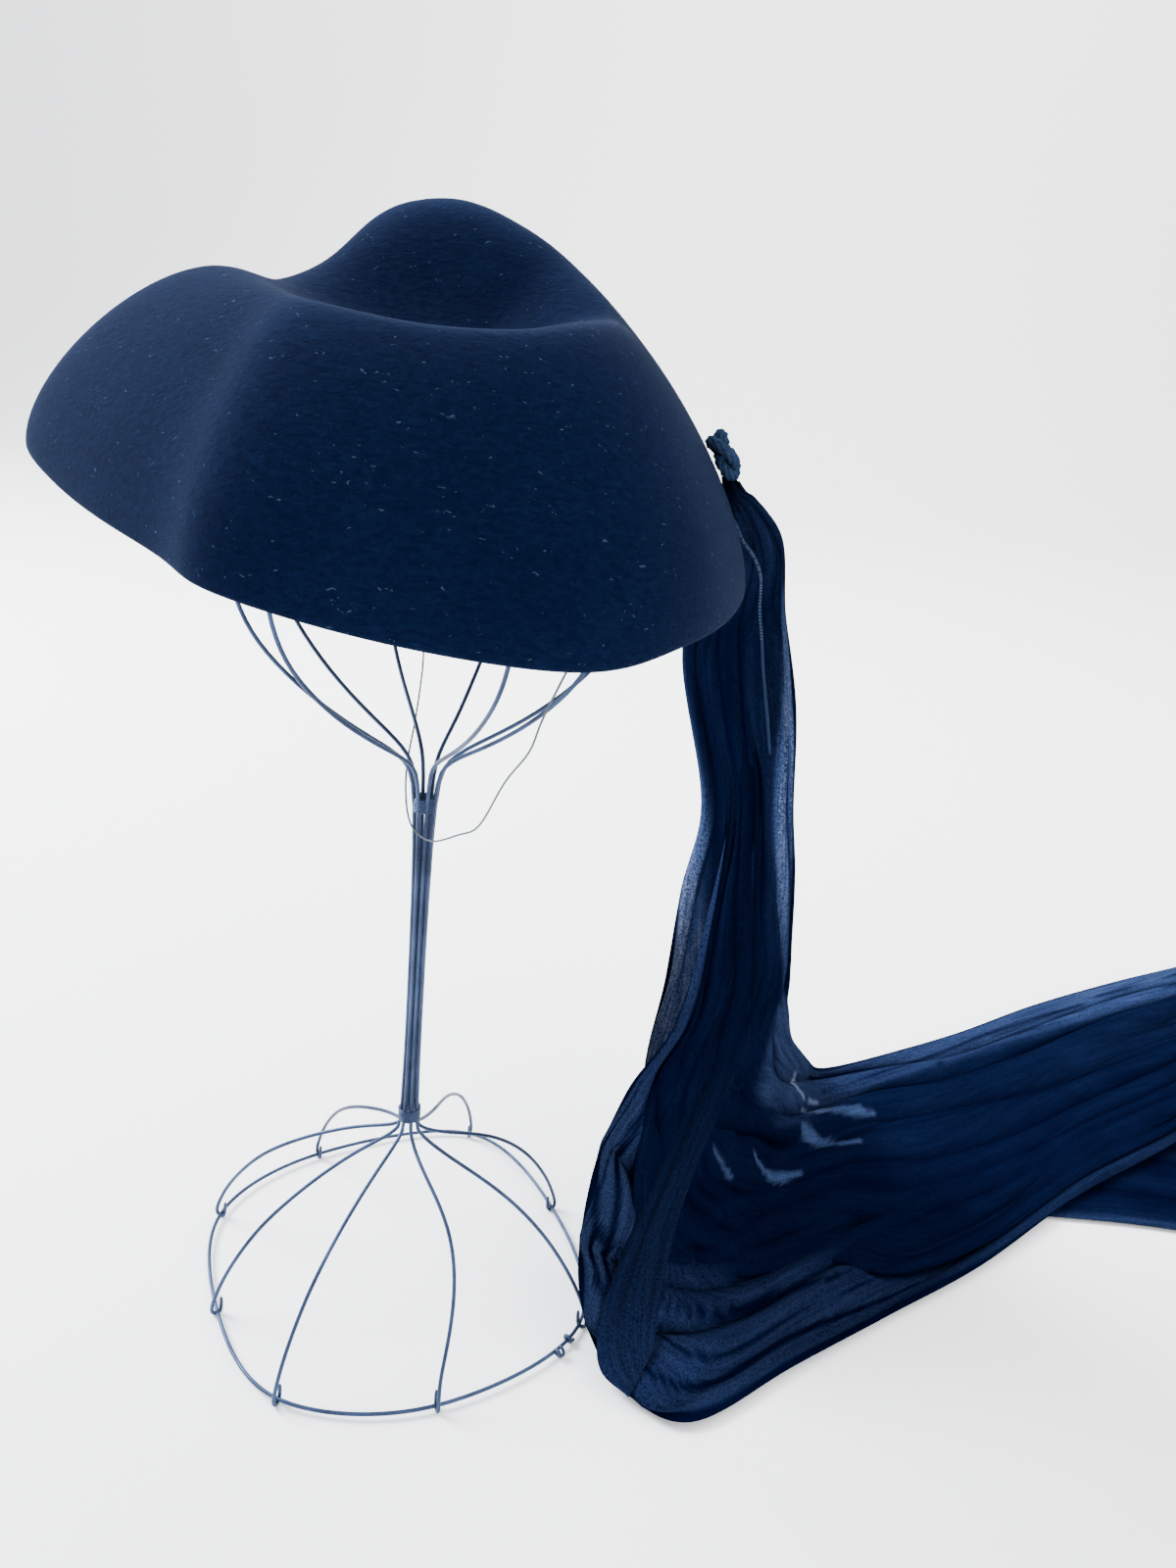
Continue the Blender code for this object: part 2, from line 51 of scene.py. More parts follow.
def flowThrough(rows, steps, closed=False):
    # a smooth curve that keeps every row
    rows = np.array(rows, float)
    count = len(rows)
    points = []
    for span in range(count if closed else count - 1):
        if closed:
            before, start, end, after = (rows[(span + step) % count] for step in (-1, 0, 1, 2))
        else:
            start, end = rows[span], rows[span + 1]
            before = rows[span - 1] if span else 2 * start - end
            after = rows[span + 2] if span + 2 < count else 2 * end - start
        for step in range(steps):
            t = step / steps
            points.append(
                start + 0.5 * t * (end - before)
                + t * t * (before - 2.5 * start + 2 * end - 0.5 * after)
                + t * t * t * (1.5 * (start - end) + 0.5 * (after - before))
            )
    if not closed:
        points.append(rows[-1])
    return np.array(points)


def unit(vector):
    return vector / max(np.linalg.norm(vector), 1e-12)


def linkPiece(name, data, material=None):
    piece = bpy.data.objects.new(name, data)
    bpy.context.scene.collection.objects.link(piece)
    if material is not None:
        data.materials.clear()
        data.materials.append(material)
    return piece


def meshPiece(name, points, faces, material, smooth=True):
    mesh = bpy.data.meshes.new(name)
    mesh.from_pydata(np.asarray(points).tolist(), [], faces)
    mesh.polygons.foreach_set("use_smooth", [smooth] * len(mesh.polygons))
    mesh.update()
    return linkPiece(name, mesh, material)


def gridFaces(rows, columns, closeAcross=False, closeAlong=False, first=0):
    faces = []
    for i in range(rows if closeAlong else rows - 1):
        for j in range(columns if closeAcross else columns - 1):
            nextRow, nextColumn = (i + 1) % rows, (j + 1) % columns
            faces.append((
                first + i * columns + j,
                first + i * columns + nextColumn,
                first + nextRow * columns + nextColumn,
                first + nextRow * columns + j,
            ))
    return faces


def fasten(piece, slotName, *nodes):
    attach(piece, "root")
    if nodes:
        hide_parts(*nodes)
    return piece


camera = {"focal": 27.0, "sensor": 36.0, "pitch": 22.7, "roll": 6.2, "fromStand": (0.065, -0.435, 0.438)}


def placeCamera():
    pitch, roll = math.radians(camera["pitch"]), math.radians(camera["roll"])
    ahead = Vector((0, math.cos(pitch), -math.sin(pitch)))
    level = Vector((0, math.sin(pitch), math.cos(pitch)))
    right = Vector((1, 0, 0)) * math.cos(roll) + level * math.sin(roll)
    up = level * math.cos(roll) - Vector((1, 0, 0)) * math.sin(roll)
    lens = bpy.data.cameras.new("photoCamera")
    lens.lens, lens.sensor_width = camera["focal"], camera["sensor"]
    lens.clip_start, lens.clip_end = 0.01, 50
    eye = bpy.data.objects.new("photoCamera", lens)
    bpy.context.scene.collection.objects.link(eye)
    spot = Vector(camera["fromStand"]) + Vector(standAxis)
    eye.matrix_world = Matrix.Translation(spot) @ Matrix((right, up, -ahead)).transposed().to_4x4()
    bpy.context.scene.camera = eye


room = {
    "floorColor": (0.95, 0.955, 0.97, 1), "skyColor": (0.95, 0.97, 1.0, 1), "sky": 1.65,
    "front": -3.0, "bendStart": 2.2, "bend": 1.4, "top": 4.0, "halfWidth": 5.0,
}
# each light: place and aim from the stand's axis
windowLights = {
    "key": {"at": (-1.5, 0.5, 1.5), "aim": (0, 0, 0.3), "size": 1.0, "power": 185, "color": (0.93, 0.96, 1.0)},
    "fill": {"at": (1.4, -1.3, 1.6), "aim": (0, 0, 0.3), "size": 1.6, "power": 26, "color": (1.0, 0.99, 0.97)},
    "rim": {"at": (1.3, 0.15, 0.9), "aim": (0, 0, 0.3), "size": 0.8, "power": 9, "color": (0.97, 0.98, 1.0)},
    "backdrop": {"at": (0.6, 1.1, 2.2), "aim": (0.6, 3.4, 0.2), "size": 2.0, "power": 130, "color": (1, 1, 1)},
}


def buildRoom():
    start, bend, side = room["bendStart"], room["bend"], room["halfWidth"]
    steps = [(room["front"], 0.0), (start, 0.0)]
    steps += [(start + bend * math.sin(a), bend - bend * math.cos(a)) for a in np.linspace(0.1, math.pi / 2, 14)]
    steps += [(start + bend, room["top"])]
    points = [(x, y, z) for y, z in steps for x in (-side, side)]
    paper = plainMaterial("palePaper", room["floorColor"], 0.9)
    meshPiece("paleFloor", points, gridFaces(len(steps), 2), paper)
    world = bpy.data.worlds.new("softDaylight")
    bpy.context.scene.world = world
    world.use_nodes = True
    sky = world.node_tree.nodes["Background"]
    sky.inputs["Color"].default_value = room["skyColor"]
    sky.inputs["Strength"].default_value = room["sky"]
    for name, setup in windowLights.items():
        light = bpy.data.lights.new(name + "Window", "AREA")
        light.shape, light.size = "SQUARE", setup["size"]
        light.energy, light.color = setup["power"], setup["color"]
        lamp = bpy.data.objects.new(name + "Window", light)
        bpy.context.scene.collection.objects.link(lamp)
        lamp.location = Vector(setup["at"]) + Vector(standAxis)
        target = Vector(setup["aim"]) + Vector(standAxis)
        lamp.rotation_euler = (target - lamp.location).to_track_quat("-Z", "Y").to_euler()


def addNode(tree, kind, inputs=None, **settings):
    node = tree.nodes.new(kind)
    for key, value in settings.items():
        setattr(node, key, value)
    for key, value in (inputs or {}).items():
        if isinstance(value, bpy.types.NodeSocket):
            tree.links.new(value, node.inputs[key])
        else:
            node.inputs[key].default_value = value
    return node


def shaderGroup(name, inputs, outputs):
    group = bpy.data.node_groups.new(name, "ShaderNodeTree")
    for label, kind, value in inputs:
        socket = group.interface.new_socket(name=label, in_out="INPUT", socket_type=kind)
        if value is not None:
            socket.default_value = value
    for label, kind in outputs:
        group.interface.new_socket(name=label, in_out="OUTPUT", socket_type=kind)
    return group, group.nodes.new("NodeGroupInput").outputs, group.nodes.new("NodeGroupOutput").inputs


def rangeNode(tree, value, fromLow, fromHigh, toLow=0.0, toHigh=1.0):
    return addNode(tree, "ShaderNodeMapRange", {
        "Value": value, "From Min": fromLow, "From Max": fromHigh, "To Min": toLow, "To Max": toHigh,
    }).outputs["Result"]


def mathNode(tree, operation, first, second, clamp=False):
    node = addNode(tree, "ShaderNodeMath", {0: first, 1: second}, operation=operation, use_clamp=clamp)
    return node.outputs[0]


def mixColors(tree, share, first, second):
    node = addNode(tree, "ShaderNodeMix", data_type="RGBA")
    for key, value in ((0, share), (6, first), (7, second)):
        if isinstance(value, bpy.types.NodeSocket):
            tree.links.new(value, node.inputs[key])
        else:
            node.inputs[key].default_value = value
    return node.outputs[2]


def noiseNode(tree, spot, scale, detail, roughness=0.5, distortion=0.0):
    return addNode(tree, "ShaderNodeTexNoise", {
        "Vector": spot, "Scale": scale, "Detail": detail, "Roughness": roughness, "Distortion": distortion,
    }).outputs


def mappedSpot(tree, spot, turn, size):
    return addNode(tree, "ShaderNodeMapping", {"Vector": spot, "Rotation": turn, "Scale": size}).outputs[0]


def objectSpot(tree):
    return addNode(tree, "ShaderNodeTexCoord").outputs["Object"]


def pointMark(tree, name):
    return addNode(tree, "ShaderNodeAttribute", attribute_name=name).outputs["Fac"]


def toneNode(tree, groups, broad, fine, share):
    return addNode(tree, "ShaderNodeGroup", {
        "Broad Scale": broad, "Fine Scale": fine, "Fine Share": share,
    }, node_tree=groups["mottle"]).outputs


def roughen(tree, shader, height, strength, distance):
    bump = addNode(tree, "ShaderNodeBump", {"Height": height, "Strength": strength, "Distance": distance})
    tree.links.new(bump.outputs[0], shader.inputs["Normal"])


def newMaterial(name, **sockets):
    material = bpy.data.materials.new(name)
    material.use_nodes = True
    shader = material.node_tree.nodes["Principled BSDF"]
    for key, value in sockets.items():
        shader.inputs[key].default_value = value
    return material, material.node_tree, shader


def plainMaterial(name, color, roughness):
    material, tree, shader = newMaterial(name, **{"Base Color": color, "Roughness": roughness})
    roughen(tree, shader, noiseNode(tree, objectSpot(tree), 900.0, 2.0)["Fac"], 0.03, 0.0002)
    return material


def mottleGroup():
    # cloudy unevenness at a broad and a fine size, for wire, felt, cloth and elastic
    group, inputs, outputs = shaderGroup(
        "unevenTone",
        [
            ("Broad Scale", "NodeSocketFloat", 30.0), ("Fine Scale", "NodeSocketFloat", 600.0),
            ("Fine Share", "NodeSocketFloat", 0.5),
        ],
        [("Tone", "NodeSocketFloat"), ("Height", "NodeSocketFloat")],
    )
    spot = objectSpot(group)
    broad = noiseNode(group, spot, inputs["Broad Scale"], 4.0)["Fac"]
    fine = noiseNode(group, spot, inputs["Fine Scale"], 3.0, 0.7)["Fac"]
    both = addNode(group, "ShaderNodeMix", {0: inputs["Fine Share"], 2: broad, 3: fine}).outputs[0]
    group.links.new(rangeNode(group, both, 0.3, 0.7), outputs["Tone"])
    group.links.new(fine, outputs["Height"])
    return group


def fibreGroup():
    # short felted hairs that lean one way, and scattered pale lint
    group, inputs, outputs = shaderGroup(
        "feltedHair",
        [
            ("Hair Scale", "NodeSocketFloat", 620.0), ("Lint Scale", "NodeSocketFloat", 820.0),
            ("Lint Amount", "NodeSocketFloat", 0.08),
        ],
        [("Hair", "NodeSocketFloat"), ("Lint", "NodeSocketFloat")],
    )
    spot = objectSpot(group)
    leaned = mappedSpot(group, spot, (0.4, -0.75, 0.5), (0.38, 1.0, 1.0))
    crossed = mappedSpot(group, spot, (-0.7, 0.9, 0.8), (0.4, 1.0, 1.0))
    hair = noiseNode(group, leaned, inputs["Hair Scale"], 5.0, 0.65, 0.6)["Fac"]
    across = noiseNode(group, crossed, inputs["Hair Scale"], 4.0, 0.65, 0.8)["Fac"]
    group.links.new(addNode(group, "ShaderNodeMix", {0: 0.5, 2: hair, 3: across}).outputs[0], outputs["Hair"])
    bent = noiseNode(group, spot, 300.0, 2.0)["Color"]
    pulled = addNode(group, "ShaderNodeVectorMath", {0: bent, "Scale": 0.004}, operation="SCALE").outputs[0]
    moved = addNode(group, "ShaderNodeVectorMath", {0: leaned, 1: pulled}, operation="ADD").outputs[0]
    cells = addNode(group, "ShaderNodeTexVoronoi", {"Vector": moved, "Scale": inputs["Lint Scale"], "Randomness": 1.0})
    chosen = addNode(group, "ShaderNodeSeparateColor", {0: cells.outputs["Color"]}).outputs[0]
    kept = mathNode(group, "LESS_THAN", chosen, inputs["Lint Amount"])
    near = rangeNode(group, cells.outputs["Distance"], 0.12, 0.28, 1.0, 0.0)
    group.links.new(mathNode(group, "MULTIPLY", kept, near), outputs["Lint"])
    return group


def crepeGroup():
    # the crinkled open weave of chiffon: pale crossings with pinholes between
    group, inputs, outputs = shaderGroup(
        "crepeWeave",
        [("Grain Scale", "NodeSocketFloat", 1100.0), ("Crinkle Scale", "NodeSocketFloat", 260.0)],
        [("Speckle", "NodeSocketFloat"), ("Height", "NodeSocketFloat")],
    )
    grain = noiseNode(group, objectSpot(group), inputs["Grain Scale"], 2.0, 0.8)["Fac"]
    run = addNode(group, "ShaderNodeUVMap", uv_map="clothRun").outputs[0]
    drawn = mappedSpot(group, run, (0, 0, 0), (1.0, 0.07, 1.0))
    crinkle = noiseNode(group, drawn, inputs["Crinkle Scale"], 4.0, 0.7)["Fac"]
    both = addNode(group, "ShaderNodeMix", {0: 0.4, 2: grain, 3: crinkle}).outputs[0]
    group.links.new(rangeNode(group, both, 0.36, 0.64), outputs["Speckle"])
    group.links.new(both, outputs["Height"])
    return group


finishes = {
    "felt": {
        "deep": (0.0004, 0.0017, 0.0110, 1), "lit": (0.0024, 0.0068, 0.0265, 1), "lint": (0.05, 0.08, 0.13, 1),
        "fuzz": (0.012, 0.025, 0.058, 1), "sheen": (0.45, 0.65, 1.0, 1),
    },
    # the crest colour and the knot's highlight colour are painted highlights on fold and strand crests
    "chiffon": {
        # the sheer and pale blues are painted light coming through a lone layer and thin places
        "deep": (0.00006, 0.00030, 0.0036, 1), "crest": (0.0013, 0.0026, 0.0140, 1), "sheer": (0.036, 0.064, 0.165, 1),
        "pale": (0.030, 0.050, 0.115, 1), "rolled": (0.0025, 0.0062, 0.0175, 1), "paintedHighlight": (0.0230, 0.0400, 0.0820, 1),
    },
    "wire": {"deep": (0.006, 0.011, 0.030, 1), "worn": (0.040, 0.066, 0.140, 1)},
    "elastic": {"deep": (0.012, 0.018, 0.032, 1), "rib": (0.06, 0.075, 0.10, 1)},
    "thread": (0.050, 0.075, 0.130, 1),
}


def feltMaterial(groups):
    material, tree, shader = newMaterial("navyFelt", **{
        "Roughness": 0.95, "Specular IOR Level": 0.02,
        "Sheen Weight": 0.03, "Sheen Roughness": 0.5, "Sheen Tint": finishes["felt"]["sheen"],
    })
    hair = addNode(tree, "ShaderNodeGroup", node_tree=groups["fibre"])
    cloudy = rangeNode(tree, toneNode(tree, groups, 26.0, 520.0, 0.55)["Tone"], 0, 1, 0.30, 1.25)
    blend = mathNode(tree, "MULTIPLY", rangeNode(tree, hair.outputs["Hair"], 0.34, 0.70), cloudy)
    # painted highlight: the ridge line is lifted toward the lit blue
    paintedHighlight = mathNode(tree, "MULTIPLY", pointMark(tree, "ridgeHighlight"), 0.65)
    blend = mathNode(tree, "ADD", blend, paintedHighlight, clamp=True)
    color = mixColors(tree, blend, finishes["felt"]["deep"], finishes["felt"]["lit"])
    lint = mathNode(tree, "MULTIPLY", hair.outputs["Lint"], 0.45)
    tree.links.new(mixColors(tree, lint, color, finishes["felt"]["lint"]), shader.inputs["Base Color"])
    height = mathNode(tree, "ADD", hair.outputs["Hair"], mathNode(tree, "MULTIPLY", hair.outputs["Lint"], 0.3))
    roughen(tree, shader, height, 0.75, 0.0008)
    return material


def fuzzMaterial(groups):
    material, tree, shader = newMaterial("feltFuzz", **{"Roughness": 0.9, "Specular IOR Level": 0.1})
    tone = toneNode(tree, groups, 40.0, 700.0, 0.6)["Tone"]
    color = mixColors(tree, tone, finishes["felt"]["lit"], finishes["felt"]["fuzz"])
    tree.links.new(color, shader.inputs["Base Color"])
    return material


def chiffonMaterial(groups, name="navyChiffon", opaque=False, deep="deep", crest="crest"):
    # the rolled cloth is opaque; the hanging cloth is painted paler where it is sheer or thin, as light coming through
    # it
    material, tree, shader = newMaterial(name, **{"Roughness": 0.85, "Specular IOR Level": 0.0})
    colors = finishes["chiffon"]
    crepe = addNode(tree, "ShaderNodeGroup", node_tree=groups["crepe"])
    tone = toneNode(tree, groups, 45.0, 300.0, 0.3)["Tone"]
    speckle = crepe.outputs["Speckle"]
    # painted highlight on the crests, broken by the tone and the weave
    lift = mathNode(tree, "MULTIPLY", pointMark(tree, "crest"), rangeNode(tree, tone, 0, 1, 0.5, 1.0))
    lift = mathNode(tree, "MULTIPLY", lift, rangeNode(tree, speckle, 0, 1, 0.4, 1.0))
    folded = mixColors(tree, lift, colors[deep], colors[crest])
    if opaque:
        tree.links.new(folded, shader.inputs["Base Color"])
    else:
        sheer, thin = pointMark(tree, "sheer"), pointMark(tree, "thin")
        # painted light through a lone layer, as the paler sheer blue
        glow = mathNode(tree, "MULTIPLY", sheer, rangeNode(tree, speckle, 0, 1, 0.10, 1.35))
        lone = mixColors(tree, glow, folded, colors["sheer"])
        # thin places painted pale as light coming through
        paled = mathNode(tree, "MULTIPLY", thin, rangeNode(tree, speckle, 0, 1, 0.30, 1.25), clamp=True)
        tree.links.new(mixColors(tree, paled, lone, colors["pale"]), shader.inputs["Base Color"])
        pinholes = rangeNode(tree, speckle, 0.45, 1, 0.0, 0.07)
        pinholes = mathNode(tree, "MULTIPLY", mathNode(tree, "MULTIPLY", sheer, sheer), pinholes)
        cover = mathNode(tree, "SUBTRACT", 1.0, pinholes, clamp=True)
        cover = mathNode(tree, "SUBTRACT", cover, mathNode(tree, "MULTIPLY", thin, 0.02), clamp=True)
        tree.links.new(cover, shader.inputs["Alpha"])
    roughen(tree, shader, crepe.outputs["Height"], 0.35, 0.0004)
    return material


def wireMaterial(groups, name, roughness):
    material, tree, shader = newMaterial(name, **{"Metallic": 0.8, "Specular IOR Level": 0.5})
    tone = toneNode(tree, groups, 70.0, 1500.0, 0.45)
    color = mixColors(tree, tone["Tone"], finishes["wire"]["deep"], finishes["wire"]["worn"])
    tree.links.new(color, shader.inputs["Base Color"])
    uneven = rangeNode(tree, tone["Tone"], 0, 1, roughness + 0.12, roughness - 0.08)
    tree.links.new(uneven, shader.inputs["Roughness"])
    roughen(tree, shader, tone["Height"], 0.2, 0.0001)
    return material


def elasticMaterial():
    material, tree, shader = newMaterial("blackElastic", **{"Roughness": 0.6, "Specular IOR Level": 0.4})
    ribs = addNode(tree, "ShaderNodeTexWave", {
        "Vector": objectSpot(tree), "Scale": 700.0, "Distortion": 1.5,
    }, bands_direction="Z").outputs["Fac"]
    color = mixColors(tree, ribs, finishes["elastic"]["deep"], finishes["elastic"]["rib"])
    tree.links.new(color, shader.inputs["Base Color"])
    roughen(tree, shader, ribs, 0.4, 0.0001)
    return material


def buildMaterials():
    groups = {"mottle": mottleGroup(), "fibre": fibreGroup(), "crepe": crepeGroup()}
    return {
        "felt": feltMaterial(groups),
        "fuzz": fuzzMaterial(groups),
        "chiffon": chiffonMaterial(groups),
        "rolled": chiffonMaterial(groups, "rolledChiffon", opaque=True, deep="rolled", crest="paintedHighlight"),
        "thread": plainMaterial("hemThread", finishes["thread"], 0.7),
        "wire": wireMaterial(groups, "annealedWire", 0.42),
        "binding": wireMaterial(groups, "bindingWire", 0.36),
        "elastic": elasticMaterial(),
    }


elasticLoop = {
    "length": 0.316, "thickness": 0.0008, "steps": 5,
    "route": (
        (-0.14896, -0.22501, 0.33920), (-0.16012, -0.21865, 0.30822), (-0.16472, -0.20865, 0.29062),
        (-0.17342, -0.19365, 0.27192), (-0.18302, -0.17865, 0.24662), (-0.19182, -0.17065, 0.23782),
        (-0.20312, -0.16065, 0.22902), (-0.21092, -0.15515, 0.23012), (-0.21452, -0.15365, 0.23672),
        (-0.21672, -0.14865, 0.24772), (-0.21732, -0.14065, 0.25762), (-0.21802, -0.12365, 0.26642),
        (-0.22002, -0.09865, 0.27962), (-0.22152, -0.07865, 0.30382), (-0.20874, -0.06424, 0.35105),
    ),
}


def buildElastic(materials):
    route = flowThrough(elasticLoop["route"], elasticLoop["steps"])
    curve = bpy.data.curves.new("chinElastic", "CURVE")
    curve.dimensions = "3D"
    curve.bevel_depth = elasticLoop["thickness"] / 2
    curve.bevel_resolution = 3
    curve.use_fill_caps = True
    line = curve.splines.new("POLY")
    line.points.add(len(route) - 1)
    for spot, point in zip(line.points, route):
        spot.co = (*point, 1)
    piece = fasten(linkPiece("chinElastic", curve, materials["elastic"]), "black_elastic", "chin_elastic")
    print("chin elastic: hung from the felt")


# swell makes up for the thickness that smoothing takes off
standFinish = {"levels": 2, "swell": 0.00013, "bossSwell": 0.0002, "bindingWire": 0.00058, "bindingTurns": 6}
# the hooked joints of the bent ring: from and to, in degrees round it
ringJoints = {"spans": ((326.8, 328.8), (332.6, 334.0)), "turns": (1.3, 1.0), "wire": 0.00075, "reach": 0.0019}


def roundedCopy(node, name, material, levels, swell=0.0):
    # the node's own shape with its facets smoothed away
    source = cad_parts[node]
    work = bmesh.new()
    work.from_mesh(source.data)
    bmesh.ops.remove_doubles(work, verts=work.verts, dist=0.000002)
    bmesh.ops.join_triangles(
        work, faces=work.faces, angle_face_threshold=math.radians(60), angle_shape_threshold=math.radians(70),
        cmp_seam=False, cmp_sharp=False, cmp_uvs=False, cmp_vcols=False, cmp_materials=False,
    )
    work.normal_update()
    if swell:
        moves = [(vert, vert.normal * swell) for vert in work.verts]
        for vert, move in moves:
            vert.co += move
    mesh = bpy.data.meshes.new(name)
    work.to_mesh(mesh)
    work.free()
    mesh.polygons.foreach_set("use_smooth", [True] * len(mesh.polygons))
    piece = linkPiece(name, mesh, material)
    smoother = piece.modifiers.new("rounding", "SUBSURF")
    smoother.levels = smoother.render_levels = levels
    return piece


def applyModifiers(piece):
    graph = bpy.context.evaluated_depsgraph_get()
    mesh = bpy.data.meshes.new_from_object(piece.evaluated_get(graph))
    piece.modifiers.clear()
    piece.data = mesh
    return piece


def buildStand(materials):
    levels, swell = standFinish["levels"], standFinish["swell"]
    for index in range(1, 9):
        node = f"stand_wire_{index}"
        fasten(roundedCopy(node, f"standWire{index}", materials["wire"], levels, swell), "stand_steel", node)
    ring = roundedCopy("base_ring", "baseRing", materials["wire"], levels, swell)
    fasten(ring, "stand_steel", "base_ring")
    buildRingJoints(materials, ring)
    boss = roundedCopy("cage_boss", "cageBoss", materials["wire"], levels, standFinish["bossSwell"])
    fasten(boss, "stand_steel", "cage_boss")
    for node, name in (("post_binding_low", "lowBinding"), ("post_binding_high", "highBinding")):
        low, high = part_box(node)
        thick = standFinish["bindingWire"]
        reach = (high.x - low.x) / 2 - thick
        turns = standFinish["bindingTurns"]
        path = []
        for step in range(turns * 24 + 1):
            share = step / (turns * 24)
            angle = 2 * math.pi * turns * share + 0.6
            wobble = 0.00012 * math.sin(3 * angle + step)
            height = low.z + thick + (high.z - low.z - 2 * thick) * share + wobble
            around = (reach + wobble) * np.array([math.cos(angle), math.sin(angle)])
            path.append((standAxis[0] + around[0], standAxis[1] + around[1], height))
        piece = tubePiece(name, path, thick, 10, materials["binding"])
        fasten(piece, "binding_steel", node)
    print("wire stand: eight wires, ring, cap and two bindings")


def buildRingJoints(materials, ring):
    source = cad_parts["base_ring"]
    spots = np.array([source.matrix_world @ vert.co for vert in source.data.vertices]) - standAxis
    bearings = np.degrees(np.arctan2(spots[:, 1], spots[:, 0])) % 360
    for index, ((start, end), turns) in enumerate(zip(ringJoints["spans"], ringJoints["turns"])):
        path = []
        for bearing in np.linspace(start, end, 40):
            near = np.argsort(np.abs(bearings - bearing))[:24]
            reach = np.hypot(spots[near, 0], spots[near, 1]).mean()
            turn = 2 * math.pi * turns * (bearing - start) / (end - start)
            outward = np.array([math.cos(math.radians(bearing)), math.sin(math.radians(bearing)), 0.0])
            height = max(0.0007, spots[:, 2].mean() + ringJoints["reach"] * math.sin(turn))
            path.append(standAxis + outward * (reach + ringJoints["reach"] * math.cos(turn)) + np.array([0, 0, height]))
        joint = tubePiece(f"ringJoint{index + 1}", path, ringJoints["wire"], 10, materials["wire"])
        joint.parent = ring


def tubePiece(name, path, radius, sides, material, upright=(0, 0, 1), closed=False):
    # radius may be one number or one for each point
    path = np.array(path, float)
    radii = np.broadcast_to(radius, (len(path),))
    points = []
    for step, centre in enumerate(path):
        ahead = path[(step + 1) % len(path)] if closed else path[min(step + 1, len(path) - 1)]
        along = unit(ahead - path[step - 1 if closed or step else 0])
        outward = unit(np.cross(along, upright))
        rise = np.cross(outward, along)
        for k in range(sides):
            angle = 2 * math.pi * k / sides
            points.append(centre + radii[step] * (math.cos(angle) * outward + math.sin(angle) * rise))
    faces = gridFaces(len(path), sides, closeAcross=True, closeAlong=closed)
    if not closed:
        last = (len(path) - 1) * sides
        faces += [tuple(range(sides))[::-1], tuple(range(last, last + sides))]
    return meshPiece(name, points, faces, material)


hatFinish = {
    "levels": 2, "hairs": 15000, "hairLength": (0.0007, 0.0019), "hairWidth": 0.00007,
    "sharpBend": 0.00014, "spreading": 3,
}


def buildHat(materials):
    hat = roundedCopy("felt_hat", "feltHat", materials["felt"], hatFinish["levels"])
    applyModifiers(hat)
    markRidgeHighlight(hat)
    fasten(hat, "navy_felt", "felt_hat")
    fuzz = buildFuzz(hat, materials["fuzz"])
    fuzz.parent = hat
    print("felt hat: shell and", hatFinish["hairs"], "loose hairs")


def markRidgeHighlight(hat):
    # how sharply the felt bends outward, for the painted highlight along the upward-facing ridge and rim
    mesh = hat.data
    count = len(mesh.vertices)
    spots = np.empty(count * 3)
    mesh.vertices.foreach_get("co", spots)
    spots = spots.reshape(-1, 3)
    normals = np.array([vert.normal for vert in mesh.vertices])
    edges = np.empty(len(mesh.edges) * 2, int)
    mesh.edges.foreach_get("vertices", edges)
    edges = edges.reshape(-1, 2)
    total, ties = np.zeros((count, 3)), np.zeros(count)
    for a, b in ((0, 1), (1, 0)):
        np.add.at(total, edges[:, a], spots[edges[:, b]])
        np.add.at(ties, edges[:, a], 1)
    bend = np.einsum("ij,ij->i", spots - total / ties[:, None], normals)
    # only upward-facing bends get the painted highlight
    facingUp = np.clip(normals[:, 2] * 3 - 1.2, 0, 1)
    bend = np.clip(bend / hatFinish["sharpBend"], 0, 1) * facingUp
    for _ in range(hatFinish["spreading"]):
        spread = np.zeros(count)
        for a, b in ((0, 1), (1, 0)):
            np.add.at(spread, edges[:, a], bend[edges[:, b]])
        bend = 0.5 * bend + 0.5 * spread / ties
    attribute = mesh.attributes.new("ridgeHighlight", "FLOAT", "POINT")
    attribute.data.foreach_set("value", bend.astype(np.float32))


def buildFuzz(hat, material):
    chance = random.Random(7)
    mesh = hat.data
    mesh.calc_loop_triangles()
    triangles = [(tri.vertices[:], tri.area, tri.normal.copy()) for tri in mesh.loop_triangles]
    areas = np.cumsum([area for _, area, _ in triangles])
    points, faces = [], []
    shortest, longest = hatFinish["hairLength"]
    for _ in range(hatFinish["hairs"]):
        corners, _, normal = triangles[int(np.searchsorted(areas, chance.random() * areas[-1]))]
        a, b = sorted((chance.random(), chance.random()))
        spots = [mesh.vertices[i].co for i in corners]
        root = spots[0] * a + spots[1] * (b - a) + spots[2] * (1 - b)
        lean = Vector((chance.gauss(0, 1), chance.gauss(0, 1), chance.gauss(0, 1)))
        way = (normal * chance.uniform(0.25, 1.0) + lean * 0.5).normalized()
        if way.dot(normal) < 0.1:
            way = (way + normal * 0.5).normalized()
        side = way.cross(normal)
        if side.length < 1e-4:
            continue
        side = side.normalized() * hatFinish["hairWidth"] / 2
        reach = chance.uniform(shortest, longest)
        first = len(points)
        middle = root + way * reach * 0.55
        tip = root + (way + lean.normalized() * 0.25).normalized() * reach
        points += [root - side, root + side, middle + side * 0.6, middle - side * 0.6, tip]
        faces += [(first, first + 1, first + 2, first + 3), (first + 3, first + 2, first + 4)]
    return meshPiece("feltFuzz", points, faces, material)


knot = {
    "middle": (-0.1079243, -0.14858094, 0.3886912), "down": (0.56418475, 0.0, -0.82564857),
    "aside": (0.0, 1.0, 0.0), "out": (0.82554948, 0.01549239, 0.56411704),
    "reach": 0.00575, "lift": 0.0022, "flatten": 0.882, "cord": 0.00195,
    "steps": 260, "sides": 28, "strands": 5, "strandDepth": 0.00016, "grainDepth": 0.00014,
}


